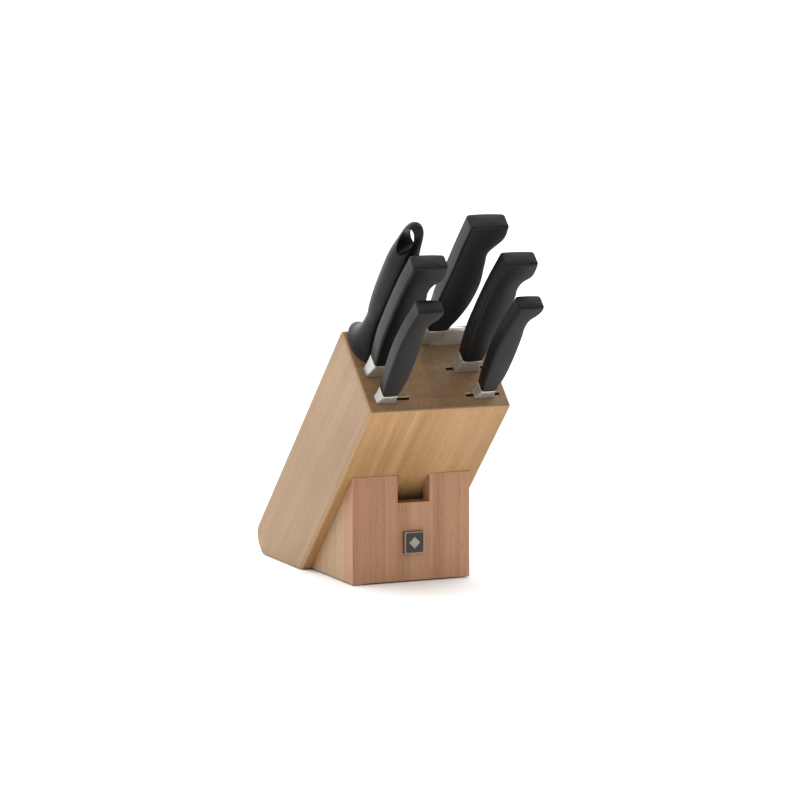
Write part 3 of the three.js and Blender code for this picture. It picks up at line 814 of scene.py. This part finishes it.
def dowel_wood():
    look = Look("dowel_wood", roughness=0.6, specular=0.3, slanted=True)
    fibre = look.noise((0.9, 12, 12), detail=3)
    look.colour(look.mix(fibre, linear(176, 140, 98), linear(214, 180, 136)))
    look.bump(fibre, 0.08)
    return look.material


def moulded_plastic():
    """Matte black moulded plastic with a very fine texture."""
    look = Look("handle_plastic", specular=0.2, slanted=True)
    texture = look.noise((0.35, 0.35, 0.35), detail=2, roughness=0.7)
    haze = look.noise((18, 18, 40), detail=2, seed=4)
    scuff = look.between(look.noise((0.5, 0.5, 14), detail=1, seed=8), 0.66, 0.78)
    look.colour(look.mix(look.total((haze, 0.6), (texture, 0.3), (scuff, 0.25)), linear(6, 6, 7),
                         linear(17, 17, 19)))
    rough = look.total((haze, 0.3), (texture, 0.25))
    look.roughness(look.between(rough, 0.2, 0.8, 0.36, 0.48))
    look.bump(texture, 0.035, 0.5)
    return look.material


def brushed_steel(name, size, shade, roughness):
    """Satin steel with brush marks of size = (x, t, u) millimetres."""
    look = Look(name, metallic=0.82, slanted=True)
    look.shader.inputs["Anisotropic"].default_value = 0.35
    marks = look.noise(size, detail=4, roughness=0.7)
    cloud = look.noise((14, 14, 30), detail=2, seed=3)
    darker = [channel - 26 for channel in shade]
    look.colour(look.mix(look.total((marks, 0.6), (cloud, 0.5)), linear(*darker), linear(*shade)))
    rough = look.total((marks, 0.7), (cloud, 0.4))
    look.roughness(look.between(rough, 0.2, 0.8, roughness - 0.07, roughness + 0.08))
    look.bump(marks, 0.02, 0.35)
    return look.material


def badge_rim():
    look = Look("badge_rim", metallic=1.0)
    marks = look.noise((0.2, 0.2, 4), detail=3)
    look.colour(look.mix(marks, linear(120, 112, 104), linear(170, 162, 152)))
    look.roughness(look.between(marks, 0.3, 0.7, 0.26, 0.38))
    look.bump(marks, 0.01, 0.4)
    return look.material


def badge_face():
    look = Look("badge_face", metallic=0.5)
    marks = look.noise((3, 3, 0.15), detail=3)
    look.colour(look.mix(marks, linear(48, 44, 42), linear(74, 68, 64)))
    look.roughness(look.between(marks, 0.3, 0.7, 0.34, 0.5))
    look.bump(marks, 0.01, 0.4)
    return look.material


def foot_rubber():
    look = Look("foot_rubber", specular=0.3)
    grit = look.noise((0.5, 0.5, 0.5), detail=3)
    look.colour(look.mix(grit, linear(176, 172, 166), linear(206, 202, 196)))
    look.roughness(look.between(grit, 0.3, 0.7, 0.75, 0.92))
    look.bump(grit, 0.05, 0.6)
    return look.material


# ---- studio ----
def build_floor():
    """A wide plain white floor."""
    bm = bmesh.new()
    bmesh.ops.create_circle(bm, cap_ends=True, segments=96, radius=FLOOR_RADIUS)
    mesh = bpy.data.meshes.new("floor")
    bm.to_mesh(mesh)
    bm.free()
    floor = bpy.data.objects.new("floor", mesh)
    bpy.context.scene.collection.objects.link(floor)
    look = Look("floor_white", roughness=0.9, specular=0.1)
    grain = look.noise((40, 40, 40), detail=1)
    look.colour(look.mix(grain, (0.93, 0.93, 0.93, 1), (0.95, 0.95, 0.95, 1)))
    mesh.materials.append(look.material)


def build_world():
    """Soft light from all round: most from behind and overhead, little from the left and the front."""
    world = bpy.data.worlds.new("studio")
    bpy.context.scene.world = world
    world.use_nodes = True
    tree = world.node_tree
    direction = tree.nodes.new("ShaderNodeTexCoord").outputs["Generated"]
    light = None
    for toward, strength in WALLS:
        lobe = tree.nodes.new("ShaderNodeVectorMath")
        lobe.operation = "DOT_PRODUCT"
        lobe.inputs[1].default_value = Vector(toward) * strength
        tree.links.new(direction, lobe.inputs[0])
        facing = tree.nodes.new("ShaderNodeMath")
        facing.operation = "MAXIMUM"
        facing.inputs[1].default_value = 0
        tree.links.new(lobe.outputs["Value"], facing.inputs[0])
        total = tree.nodes.new("ShaderNodeMath")
        total.operation = "ADD"
        total.inputs[1].default_value = AMBIENT
        tree.links.new(facing.outputs[0], total.inputs[0])
        if light is not None:
            tree.links.new(light, total.inputs[1])
        light = total.outputs[0]
    tree.links.new(light, tree.nodes["Background"].inputs["Color"])


def softbox(name, place, target, width, height, power):
    """A rectangular lamp that faces its target."""
    light = bpy.data.lights.new(name, "AREA")
    light.shape, light.size, light.size_y, light.energy = "RECTANGLE", width, height, power
    lamp = bpy.data.objects.new(name, light)
    bpy.context.scene.collection.objects.link(lamp)
    lamp.location = place
    lamp.rotation_euler = (Vector(target) - Vector(place)).to_track_quat("-Z", "Y").to_euler()


def build_camera():
    """A long lens from the front left, a little above the object."""
    data = bpy.data.cameras.new("camera")
    data.lens = LENS
    data.clip_end = VIEW_CLIP
    camera = bpy.data.objects.new("camera", data)
    bpy.context.scene.collection.objects.link(camera)
    level = math.cos(VIEW_ELEVATION)
    back = Vector((math.sin(VIEW_AZIMUTH) * level, -math.cos(VIEW_AZIMUTH) * level, math.sin(VIEW_ELEVATION)))
    camera.location = VIEW_TARGET + back * VIEW_DISTANCE
    camera.rotation_euler = back.to_track_quat("Z", "Y").to_euler()
    bpy.context.scene.camera = camera


def build_studio():
    build_floor()
    build_world()
    softbox("left_softbox", (-2.4, -0.7, 1.1), (0, 0, 0.15), 1.6, 1.6, 2.5)
    build_camera()
    bpy.context.scene.view_settings.view_transform = "Standard"


def dress_cad_nodes():
    """Feet and dowels keep their CAD shapes, with their own materials and eased edges."""
    rubber, wood = foot_rubber(), dowel_wood()
    for name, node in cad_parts.items():
        if name.endswith(("_foot", "_dowel")):
            node.data.materials.clear()
            node.data.materials.append(rubber if name.endswith("_foot") else wood)
            ease = node.modifiers.new("eased", "BEVEL")
            ease.width, ease.segments, ease.limit_method = 0.25 * MM, 2, "ANGLE"


def build_object():
    bamboo, slot_shade_wood = block_bamboo(4.0), slot_painted_shade()
    for name, front, back in BOARDS:
        build_board(name, front, back, bamboo, slot_shade_wood)
    build_stand(
        stand_bamboo("stand_front_bamboo", 0, 2.0, (154, 112, 82), (188, 146, 113), (174, 124, 97)),
        stand_bamboo("stand_side_bamboo", 1, 7.0, (144, 114, 84), (178, 148, 115), (170, 135, 103)),
    )
    build_badge(badge_rim(), badge_face())
    plastic = moulded_plastic()
    steel = brushed_steel("knife_steel", (2, 2, 0.25), (208, 207, 204), 0.36)
    for name, x, row, style in KNIVES:
        build_handle(name, x, row, style, plastic)
        build_blade(name, x, row, style, steel)
    build_rod(brushed_steel("rod_steel", (0.25, 0.25, 9), (186, 185, 182), 0.3))
    build_steel_handle(plastic)
    dress_cad_nodes()


build_object()
build_studio()
